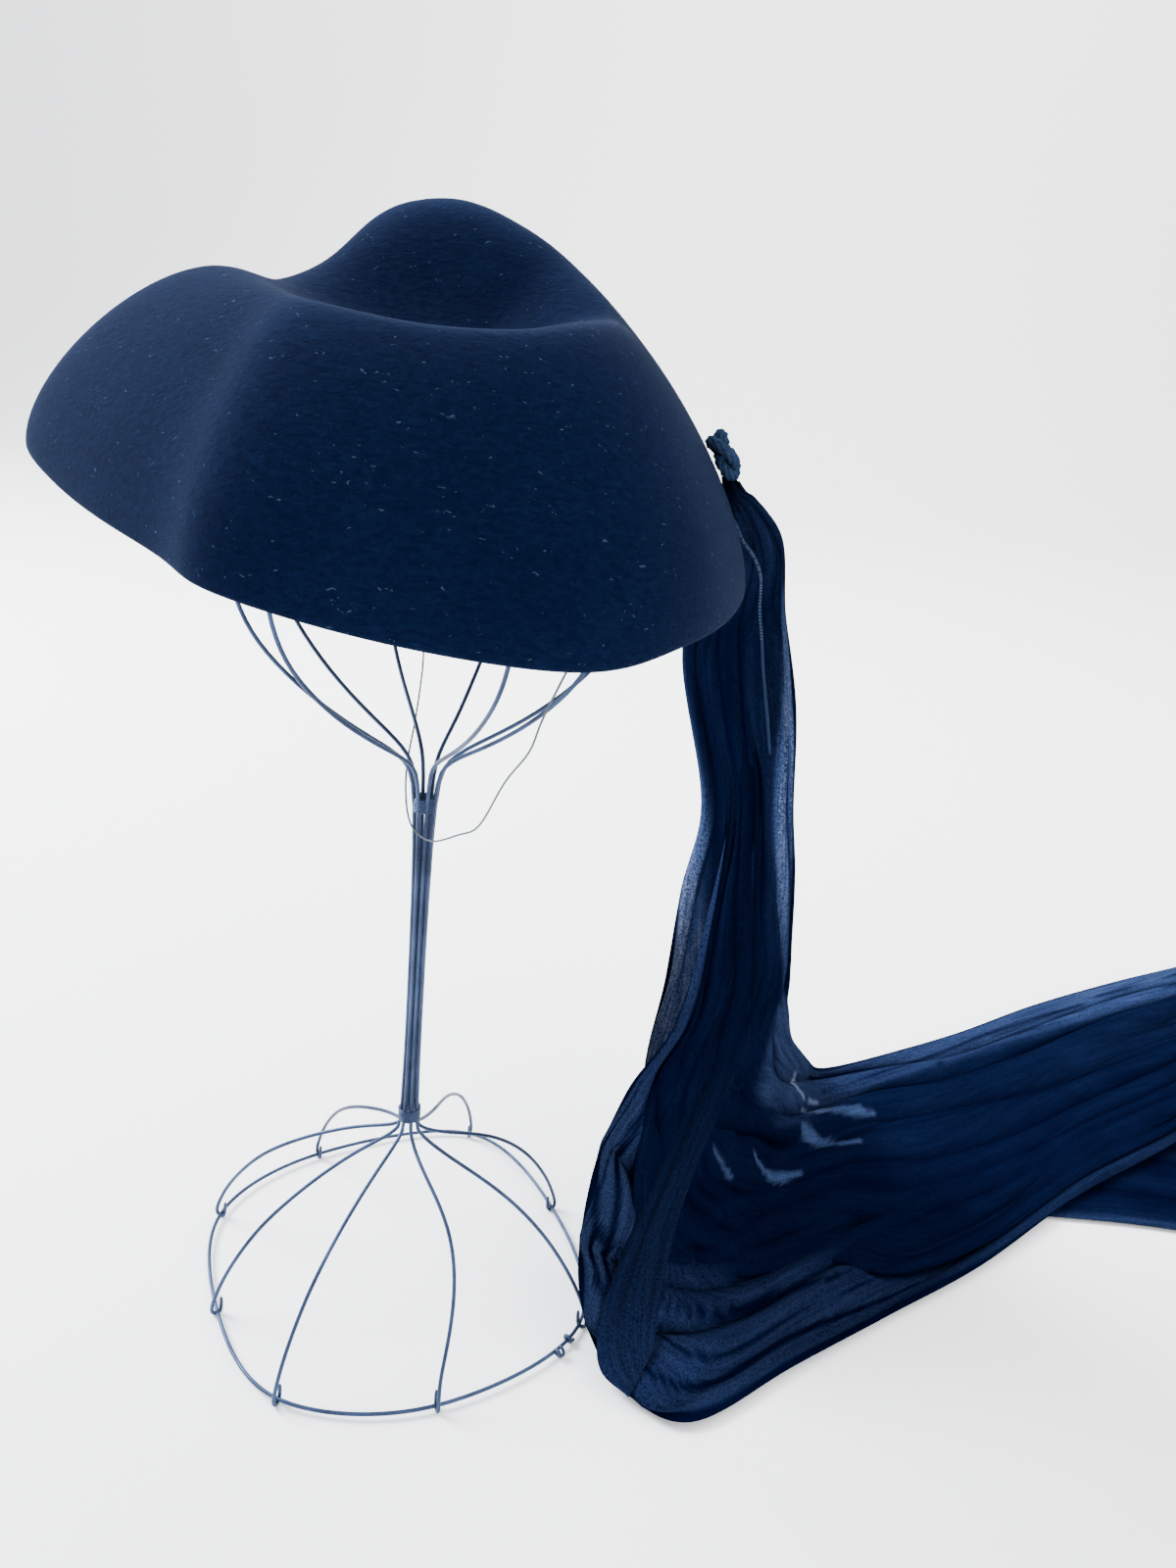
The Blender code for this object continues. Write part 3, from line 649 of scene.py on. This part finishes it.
def buildKnot(materials):
    middle, down, aside, out = (np.array(knot[key]) for key in ("middle", "down", "aside", "out"))
    steps, sides = knot["steps"], knot["sides"]
    path, radii = [], []
    for step in range(steps):
        turn = 2 * math.pi * step / steps
        around = knot["reach"] + knot["lift"] * math.cos(3 * turn)
        path.append(
            middle + around * math.cos(2 * turn) * down
            + around * math.sin(2 * turn) * knot["flatten"] * aside
            + knot["lift"] * math.sin(3 * turn) * out
        )
        radii.append(knot["cord"] * (1 + 0.07 * math.sin(31 * turn) + 0.05 * math.sin(47 * turn + 1)))
    piece = tubePiece("rolledKnot", path, radii, sides, materials["rolled"], upright=out, closed=True)
    mesh = piece.data
    crest = mesh.attributes.new("crest", "FLOAT", "POINT")
    values = []
    for index, vert in enumerate(mesh.vertices):
        ringStep, side = divmod(index, sides)
        twist = math.sin(2 * math.pi * (knot["strands"] * side / sides) + 0.55 * ringStep)
        grain = noise.noise(vert.co * 1500)
        centre = Vector(path[ringStep])
        outward = (vert.co - centre).normalized()
        vert.co += outward * (knot["strandDepth"] * twist + knot["grainDepth"] * grain)
        # the strand crests and grain get the painted highlight
        values.append(min(1.0, max(0.0, 1.3 + 0.9 * twist + 1.2 * grain)))
    crest.data.foreach_set("value", np.array(values, np.float32))
    fasten(piece, "navy_chiffon", "back_knot")
    print("knot: rolled and twisted")


# each row: the scarf's left and right edges from the stand's axis, then where its three passes
# turn across it (free edge, left turn, right turn, free edge), pleat depth in mm, and how much
# light comes through a single layer at the left and at the right
overScarf = {
    "flat": (0.36, 0.87), "passes": 3, "pleats": (6, 7, 7), "columns": 90, "steps": 12,
    "gather": (9.0, 14.0, 0.5),
    "layerGap": 0.0012, "foldOver": 1.6, "drift": 0.8, "wobble": 0.0032, "headLight": 0.11,
    "rows": (
        (0.1018, 0.0062, 0.3806, 0.1070, -0.0042, 0.3800, 1.00, 0.00, 1.00, 0.00, 0.5, 0.0, 0.0),
        (0.1036, 0.0045, 0.3722, 0.1100, -0.0025, 0.3770, 1.00, 0.01, 0.99, 0.00, 0.8, 0.0, 0.0),
        (0.1080, 0.0060, 0.3632, 0.1148, 0.0005, 0.3733, 1.00, 0.02, 0.98, 0.00, 1.2, 0.0, 0.0),
        (0.1120, 0.0330, 0.3343, 0.1290, 0.0180, 0.3572, 1.00, 0.04, 0.96, 0.00, 2.2, 0.1, 0.1),
        (0.1110, 0.0620, 0.3001, 0.1385, 0.0280, 0.3292, 1.00, 0.05, 0.92, 0.00, 3.0, 0.2, 0.5),
        (0.1190, 0.0600, 0.2624, 0.1480, 0.0330, 0.2927, 1.00, 0.05, 0.82, 0.00, 3.4, 0.3, 0.8),
        (0.1285, 0.0550, 0.2262, 0.1550, 0.0350, 0.2546, 1.00, 0.05, 0.76, 0.00, 3.4, 0.3, 0.8),
        (0.1245, 0.0350, 0.1703, 0.1620, 0.0450, 0.2126, 1.00, 0.08, 0.80, 0.00, 3.4, 0.2, 0.8),
        (0.1165, 0.0120, 0.1372, 0.1670, 0.0550, 0.1633, 1.00, 0.12, 0.92, 0.00, 3.4, 0.2, 0.4),
        (0.0985, -0.0070, 0.1139, 0.1720, 0.0650, 0.1368, 1.00, 0.16, 0.94, 0.00, 3.6, 0.2, 0.3),
        (0.0865, -0.0180, 0.0777, 0.1760, 0.0780, 0.1178, 1.00, 0.20, 0.92, 0.00, 3.8, 0.25, 0.35),
        (0.0860, -0.0290, 0.0381, 0.1820, 0.0880, 0.1007, 1.00, 0.22, 0.86, 0.00, 3.8, 0.26, 0.30),
        (0.0960, -0.0460, 0.0132, 0.1900, 0.1030, 0.0762, 1.00, 0.24, 0.78, 0.00, 3.8, 0.22, 0.30),
        (0.1105, -0.0700, 0.0066, 0.2050, 0.1300, 0.0455, 1.00, 0.30, 0.76, 0.00, 3.8, 0.15, 0.28),
        (0.1380, -0.0790, 0.0058, 0.2280, 0.1700, 0.0136, 1.00, 0.32, 0.80, 0.00, 4.0, 0.15, 0.20),
        (0.1830, -0.0460, 0.0058, 0.2730, 0.2020, 0.0062, 1.00, 0.26, 0.86, 0.00, 4.0, 0.15, 0.24),
        (0.2320, -0.0130, 0.0058, 0.3250, 0.2350, 0.0058, 1.00, 0.10, 0.86, 0.00, 4.0, 0.12, 0.34),
        (0.2900, 0.0280, 0.0062, 0.3900, 0.2800, 0.0058, 1.00, 0.05, 0.83, 0.00, 3.8, 0.10, 0.38),
        (0.3600, 0.0890, 0.0074, 0.4600, 0.3200, 0.0058, 1.00, 0.05, 0.80, 0.00, 3.6, 0.10, 0.50),
        (0.4300, 0.1400, 0.0074, 0.5300, 0.3600, 0.0058, 1.00, 0.05, 0.80, 0.00, 3.2, 0.10, 0.50),
        (0.4600, 0.1650, 0.0074, 0.5700, 0.3900, 0.0058, 1.00, 0.05, 0.80, 0.00, 2.6, 0.10, 0.50),
    ),
    # thin places between the pleats, painted pale as light coming through, and dark folds in the lone layer, where the
    # painted light through is taken away: from and to, each a row and a share across, then half width and strength
    "windows": (
        (14.2, 0.855, 12.7, 0.930, 0.013, 1.00), (13.6, 0.830, 15.1, 0.735, 0.026, 0.65),
        (15.2, 0.640, 13.8, 0.765, 0.030, 0.70), (11.4, 0.580, 12.7, 0.530, 0.013, 0.60),
        (12.6, 0.680, 14.3, 0.580, 0.022, 0.75),
    ),
    "creases": (
        (7.0, 0.13, 10.8, 0.17, 0.030, 1.0), (8.5, 0.04, 12.6, 0.06, 0.016, 1.0),
        (9.5, 0.13, 12.2, 0.12, 0.026, 1.0), (10.2, -0.02, 11.6, 0.20, 0.020, 1.0),
        (12.4, 0.08, 16.5, 0.07, 0.016, 1.0),
        (11.2, 0.00, 12.6, 0.22, 0.018, 0.9), (9.4, 0.20, 10.8, -0.02, 0.014, 0.8),
        (12.6, 0.15, 16.0, 0.12, 0.010, 0.9), (13.0, 0.25, 15.5, 0.18, 0.022, 1.0),
        (12.2, 0.20, 14.5, 0.22, 0.012, 0.8), (14.0, 0.90, 19.5, 0.93, 0.012, 0.8),
        (15.5, 0.86, 19.8, 0.89, 0.010, 0.8), (13.2, 0.96, 16.0, 0.93, 0.014, 0.9),
    ),
}
underScarf = {
    "flat": (0.21, 0.86), "passes": 3, "pleats": (3, 3, 3), "columns": 60, "steps": 8,
    "gather": (4.0, 8.0, 0.7),
    "layerGap": 0.0008, "foldOver": 1.5, "drift": 0.8, "wobble": 0.0012, "headLight": 0.05,
    "rows": (
        (0.1052, 0.0103, 0.3820, 0.1052, 0.0043, 0.3820, 0.00, 1.00, 0.00, 1.00, 0.2, 0.0, 0.0),
        (0.1030, 0.0520, 0.3494, 0.1075, 0.0430, 0.3553, 0.00, 1.00, 0.02, 1.00, 0.5, 0.0, 0.0),
        (0.1040, 0.0800, 0.3230, 0.1310, 0.0550, 0.3269, 0.00, 0.96, 0.02, 0.94, 1.4, 0.1, 0.1),
        (0.1030, 0.0920, 0.2849, 0.1450, 0.0600, 0.2810, 0.00, 0.84, 0.03, 0.82, 1.8, 0.15, 0.1),
        (0.1220, 0.0950, 0.2142, 0.1590, 0.0680, 0.2282, 0.00, 0.82, 0.06, 0.80, 1.8, 0.6, 0.1),
        (0.1180, 0.0930, 0.1671, 0.1670, 0.0750, 0.1749, 0.00, 0.80, 0.24, 0.80, 1.8, 1.0, 0.2),
        (0.1160, 0.0880, 0.1170, 0.1760, 0.0950, 0.1256, 0.00, 0.70, 0.26, 0.70, 1.6, 0.7, 0.2),
        (0.1110, 0.0750, 0.0571, 0.1850, 0.1300, 0.0533, 0.00, 0.30, 0.10, 0.30, 0.9, 0.3, 0.2),
        (0.1350, 0.0600, 0.0047, 0.2100, 0.1650, 0.0039, 0.00, 0.20, 0.02, 0.20, 0.3, 0.2, 0.2),
        (0.2000, 0.0550, 0.0010, 0.2600, 0.1700, 0.0010, 0.00, 0.60, 0.04, 0.60, 0.2, 0.2, 0.2),
        (0.2900, 0.0700, 0.0010, 0.3300, 0.1800, 0.0010, 0.00, 1.00, 0.04, 1.00, 0.2, 0.2, 0.2),
        (0.3750, 0.0750, 0.0010, 0.4050, 0.1850, 0.0010, 0.00, 1.00, 0.04, 1.00, 0.2, 0.2, 0.2),
        (0.4500, 0.0700, 0.0010, 0.4700, 0.1800, 0.0010, 0.00, 1.00, 0.04, 1.00, 0.2, 0.2, 0.2),
        (0.5000, 0.0650, 0.0010, 0.5150, 0.1750, 0.0010, 0.00, 1.00, 0.04, 1.00, 0.2, 0.2, 0.2),
    ),
    "windows": (), "creases": (),
}
# a doubled fold that falls down the front of the scarf: its left and right shares for each row
frontFold = {
    "first": 5, "steps": 12, "columns": 36, "rise": 0.0036, "pleats": 2, "depth": 0.7,
    "glow": ((0.0, 0.6, 0.85, 1.0), (0.02, 0.03, 0.09, 0.12)),
    "shares": (
        (0.20, 0.45), (0.22, 0.55), (0.25, 0.62), (0.34, 0.70), (0.44, 0.74), (0.48, 0.74),
        (0.30, 0.66), (0.00, 0.36), (-0.01, 0.10),
    ),
}
# the stitched hem that runs down from the knot: row and share of the scarf over
stitchedHem = {
    "path": (
        (0.3, 0.30), (1.2, 0.30), (2.0, 0.22), (2.6, 0.45), (3.2, 0.63), (4.0, 0.77), (4.6, 0.75), (5.6, 0.70),
    ),
    "width": 0.0017, "rise": 0.0056, "roundness": 0.55, "sink": 0.0022,
    "stitchEvery": 0.0016, "stitch": (0.0014, 0.00022), "slant": 0.55,
}


def scarfFrame(setup, seed):
    # edges, turns, depth, glow and the outward way for every row along one length of the scarf
    lines = flowThrough(setup["rows"], setup["steps"])
    left, right = lines[:, 0:3] + standAxis, lines[:, 3:6] + standAxis
    middle = (left + right) / 2
    along = np.gradient(middle, axis=0)
    out = np.cross(along, right - left)
    for _ in range(6):
        out[1:-1] = (out[:-2] + 2 * out[1:-1] + out[2:]) / 4
    out /= np.linalg.norm(out, axis=1)[:, None]
    across = (right - left) / np.linalg.norm(right - left, axis=1)[:, None]
    for i in range(len(lines)):
        ease = min(1.0, i / (4 * setup["steps"]))
        travel = 8 * i / setup["steps"]
        left[i] += across[i] * ease * setup["wobble"] * 2 * wander(travel * 1.3, 0.0, seed + 60)
        right[i] -= across[i] * ease * setup["wobble"] * 2 * wander(travel * 1.3, 1.0, seed + 70)
    return {
        "left": left, "right": right, "out": out, "turns": lines[:, 6:10],
        "depth": lines[:, 10] / 1000, "glow": np.clip(lines[:, 11:13], 0, 1),
    }


def wander(row, column, seed):
    # slow unevenness, the same at every run
    return noise.noise(Vector((row * 0.045 + seed, column * 1.7 + seed * 0.37, seed * 1.3)))


def foldScarf(setup, seed):
    # the cloth crosses its own width three times, pleated on the way
    shape = scarfFrame(setup, seed)
    rows = len(shape["left"])
    columns = setup["columns"]
    points, shares, crests = [], [], []
    for i in range(rows):
        turns = shape["turns"][i]
        travel = 8 * i / setup["steps"]
        fewest, every, least = setup["gather"]
        spread = least + (1 - least) * min(1.0, max(0.0, (i / setup["steps"] - fewest) / (every - fewest)))
        line, share, crest = [], [], []
        for step in range(setup["passes"]):
            count = setup["pleats"][step] * spread
            start, end = turns[step], turns[step + 1]
            for j in range(columns + (step == setup["passes"] - 1)):
                t = j / columns
                angle = 2 * math.pi * (count * t + setup["drift"] * wander(travel, t * 2.5, seed + step))
                strength = setup["foldOver"] * (0.9 + 0.5 * wander(travel * 0.6, t * 3, seed + 20 + step))
                ease = math.sin(math.pi * t) ** 0.35
                across = t + ease * strength * math.sin(angle) / (2 * math.pi * count)
                at = start + (end - start) * min(1.0, max(0.0, across))
                fullness = 0.8 + 0.5 * wander(travel, t * 4, seed + 40 + step)
                lift = ease * shape["depth"][i] * fullness * math.cos(angle)
                lift -= setup["layerGap"] * (step + t - setup["passes"] / 2)
                spot = shape["left"][i] + (shape["right"][i] - shape["left"][i]) * at
                spot = spot + shape["out"][i] * lift
                line.append(spot)
                share.append(at)
                # the pleat tops get the painted highlight
                crest.append(0.5 + 0.5 * math.cos(angle))
        points.append(line)
        shares.append(share)
        crests.append(crest)
    points = np.array(points)
    # nothing sinks into the table, and the passes keep their order on it
    lowest = 0.0004 + 0.0012 * np.linspace(1, 0, points.shape[1])
    points[:, :, 2] = np.maximum(points[:, :, 2], lowest[None, :])
    return points, np.array(shares), np.array(crests), shape


def layersAt(shares):
    # how many times the cloth lies over each point of its row
    counts = np.zeros(shares.shape)
    for i, row in enumerate(shares):
        low, high = np.minimum(row[:-1], row[1:]), np.maximum(row[:-1], row[1:])
        counts[i] = ((row[:, None] >= low - 1e-6) & (row[:, None] < high)).sum(axis=1)
    return np.maximum(counts, 1)


def lightThrough(setup, shares, shape):
    # painted light through the cloth: a lone layer glows, folded ones don't, and the free edges keep a dark rolled hem;
    # the first rows by the knot get some painted light too; also the thin places
    layers = layersAt(shares)
    glow = shape["glow"][:, :1] * (1 - shares) + shape["glow"][:, 1:] * shares
    sheer = np.interp(layers, (1, 2, 3, 4), (1.0, 0.42, 0.12, 0.0)) * glow
    for _ in range(6):
        sheer[1:-1] = (sheer[:-2] + 2 * sheer[1:-1] + sheer[2:]) / 4
        sheer[:, 1:-1] = (sheer[:, :-2] + 22 * sheer[:, 1:-1] + sheer[:, 2:]) / 24
    sheer[:, :2] = 0
    sheer[:, -2:] = 0
    # creases take away the painted light through, leaving painted dark lines
    sheer *= 1 - alongLines(setup, "creases", shares, 2.0)
    rows = np.arange(len(shares))[:, None] / setup["steps"]
    sheer = np.maximum(sheer, setup["headLight"] * np.clip(4 - rows, 0, 1))
    return sheer, alongLines(setup, "windows", shares, 2.6, widening=True)


def alongLines(setup, kind, shares, sharpness, widening=False):
    # marks along slightly bent lines, widest in the middle or, when widening, near the far end
    marks = np.zeros(shares.shape)
    rows = np.arange(len(shares))[:, None] / setup["steps"]
    for index, (rowA, shareA, rowB, shareB, half, strength) in enumerate(setup[kind]):
        t = (rows - rowA) / (rowB - rowA)
        within = np.clip(t, 0, 1)
        if widening:
            inside = within * np.clip(6 - 6 * within, 0, 1)
        else:
            inside = np.clip(1 - np.abs(2 * t - 1), 0, 1) ** 0.7
        bend = 0.9 * half * np.sin(2.2 * rows + 1.7 * index)
        offset = np.abs(shares - (shareA + (shareB - shareA) * t) - bend) / (half * np.maximum(inside, 0.01))
        marks = np.maximum(marks, strength * np.clip(sharpness - sharpness * offset, 0, 1) * (inside > 0))
    return marks


def scarfPiece(name, grids, material):
    # grids: points, light through, thin places and crests of each run of cloth in this piece
    spots, faces, cloth, marks = [], [], [], {"sheer": [], "thin": [], "crest": []}
    for points, sheer, thin, crest in grids:
        faces += gridFaces(points.shape[0], points.shape[1], first=len(spots))
        spots += points.reshape(-1, 3).tolist()
        steps = np.linalg.norm(np.diff(points, axis=0), axis=2).mean(axis=1)
        down = np.concatenate([[0], np.cumsum(steps)])
        over = np.linspace(0, 0.004 * points.shape[1], points.shape[1])
        cloth += [(u, v) for v in down for u in over]
        for label, values in (("sheer", sheer), ("thin", thin), ("crest", crest)):
            marks[label] += np.clip(values, 0, 1).reshape(-1).tolist()
    piece = meshPiece(name, spots, faces, material)
    corners = np.empty(len(piece.data.loops), int)
    piece.data.loops.foreach_get("vertex_index", corners)
    flat = np.array(cloth)[corners]
    piece.data.uv_layers.new(name="clothRun").data.foreach_set("uv", flat.astype(np.float32).ravel())
    for label, values in marks.items():
        piece.data.attributes.new(label, "FLOAT", "POINT").data.foreach_set("value", np.array(values, np.float32))
    return piece


def flatArea(piece):
    return sum(face.area for face in piece.data.polygons)


def foldFront(setup, shape):
    first = setup["first"] * setup["steps"]
    lines = flowThrough(setup["shares"], setup["steps"])
    points, crests = [], []
    for k, (low, high) in enumerate(lines):
        i = first + k
        line, crest = [], []
        for j in range(setup["columns"] + 1):
            t = j / setup["columns"]
            angle = 2 * math.pi * (setup["pleats"] * t + 0.25 * wander(8 * i / setup["steps"], t, 77))
            over = 0.9 * math.sin(math.pi * t) * math.sin(angle) / (2 * math.pi * setup["pleats"])
            at = low + (high - low) * min(1.0, max(0.0, t + over))
            ends = min(1.0, k / 15, (len(lines) - 1 - k) / 9)
            lift = ends * (setup["rise"] * math.sin(math.pi * t) ** 0.4 + setup["depth"] / 1000 * math.cos(angle))
            spot = shape["left"][i] + (shape["right"][i] - shape["left"][i]) * at
            spot = spot + shape["out"][i] * (0.0012 + lift)
            spot[2] = max(spot[2], 0.003)
            line.append(spot)
            # the pleat tops get the painted highlight
            crest.append(0.35 + 0.35 * math.cos(angle))
        points.append(line)
        crests.append(crest)
    points = np.array(points)
    glow = np.repeat(np.interp(np.arange(len(lines)) / len(lines), *setup["glow"])[:, None], points.shape[1], axis=1)
    return points, glow, np.zeros(glow.shape), np.array(crests)


def scarfSpot(shape, steps, row, share, lift):
    # a place on the scarf, its way across and its way out
    at = row * steps
    low = min(int(at), len(shape["left"]) - 2)
    part = at - low
    left, right, out = (shape[key][low] * (1 - part) + shape[key][low + 1] * part for key in ("left", "right", "out"))
    return left + (right - left) * share + out * lift, unit(right - left), unit(out)


def buildHem(materials, shape):
    path = flowThrough(stitchedHem["path"], 14)
    spots = [scarfSpot(shape, overScarf["steps"], row, share, stitchedHem["rise"]) for row, share in path]
    grid, crests = [], []
    half = stitchedHem["width"] / 2
    for i, (spot, across, out) in enumerate(spots):
        ends = min(1.0, i / 6, (len(spots) - 1 - i) / 10)
        line = []
        for k in range(7):
            a = math.pi * k / 6
            lift = half * stitchedHem["roundness"] * math.sin(a) - stitchedHem["sink"] * (1 - ends)
            line.append(spot - across * half * math.cos(a) + out * lift)
        grid.append(line)
        # painted highlights across the rolled hem, brightest on its top
        crests.append([0.5, 0.9, 1.0, 0.6, 0.9, 1.0, 0.5])
    grid = np.array(grid)
    nothing = np.zeros(grid.shape[:2])
    hem = scarfPiece("rolledHem", [(grid, nothing, nothing, np.array(crests))], materials["rolled"])
    points, faces = [], []
    travelled = 0.0
    for (spot, across, out), (following, _, _) in zip(spots[8:-24], spots[9:-23]):
        travelled += np.linalg.norm(following - spot)
        if travelled < stitchedHem["stitchEvery"]:
            continue
        travelled -= stitchedHem["stitchEvery"]
        along = unit(following - spot)
        length, thick = stitchedHem["stitch"]
        way = unit(across + stitchedHem["slant"] * along)
        middle = spot + out * (half * stitchedHem["roundness"] + 0.00008)
        side = np.cross(way, out)
        first = len(points)
        points += [middle - way * length / 2, middle + side * thick, middle + out * thick]
        points += [middle - side * thick, middle + way * length / 2]
        for corners in ((0, 1, 2), (0, 2, 3), (4, 2, 1), (4, 3, 2)):
            faces.append(tuple(first + corner for corner in corners))
    stitches = meshPiece("hemStitches", points, faces, materials["thread"], smooth=False)
    return hem, stitches


def buildScarf(materials):
    grid, shares, crests, shape = foldScarf(overScarf, 3.0)
    sheer, thin = lightThrough(overScarf, shares, shape)
    front = foldFront(frontFold, shape)
    over = scarfPiece("chiffonOver", [(grid, sheer, thin, crests), front], materials["chiffon"])
    fasten(over, "navy_chiffon", "chiffon_tail_over")
    hem, stitches = buildHem(materials, shape)
    for piece in (hem, stitches):
        piece.parent = over
    print("scarf over: cloth", round(flatArea(over), 3), "m2")

    grid, shares, crests, shape = foldScarf(underScarf, 9.0)
    sheer, thin = lightThrough(underScarf, shares, shape)
    under = scarfPiece("chiffonUnder", [(grid, sheer, thin, crests)], materials["chiffon"])
    fasten(under, "navy_chiffon", "chiffon_tail_under")
    print("scarf under: cloth", round(flatArea(under), 3), "m2")


placeCamera()
materials = buildMaterials()
buildRoom()
buildElastic(materials)
buildStand(materials)
buildHat(materials)
buildKnot(materials)
buildScarf(materials)
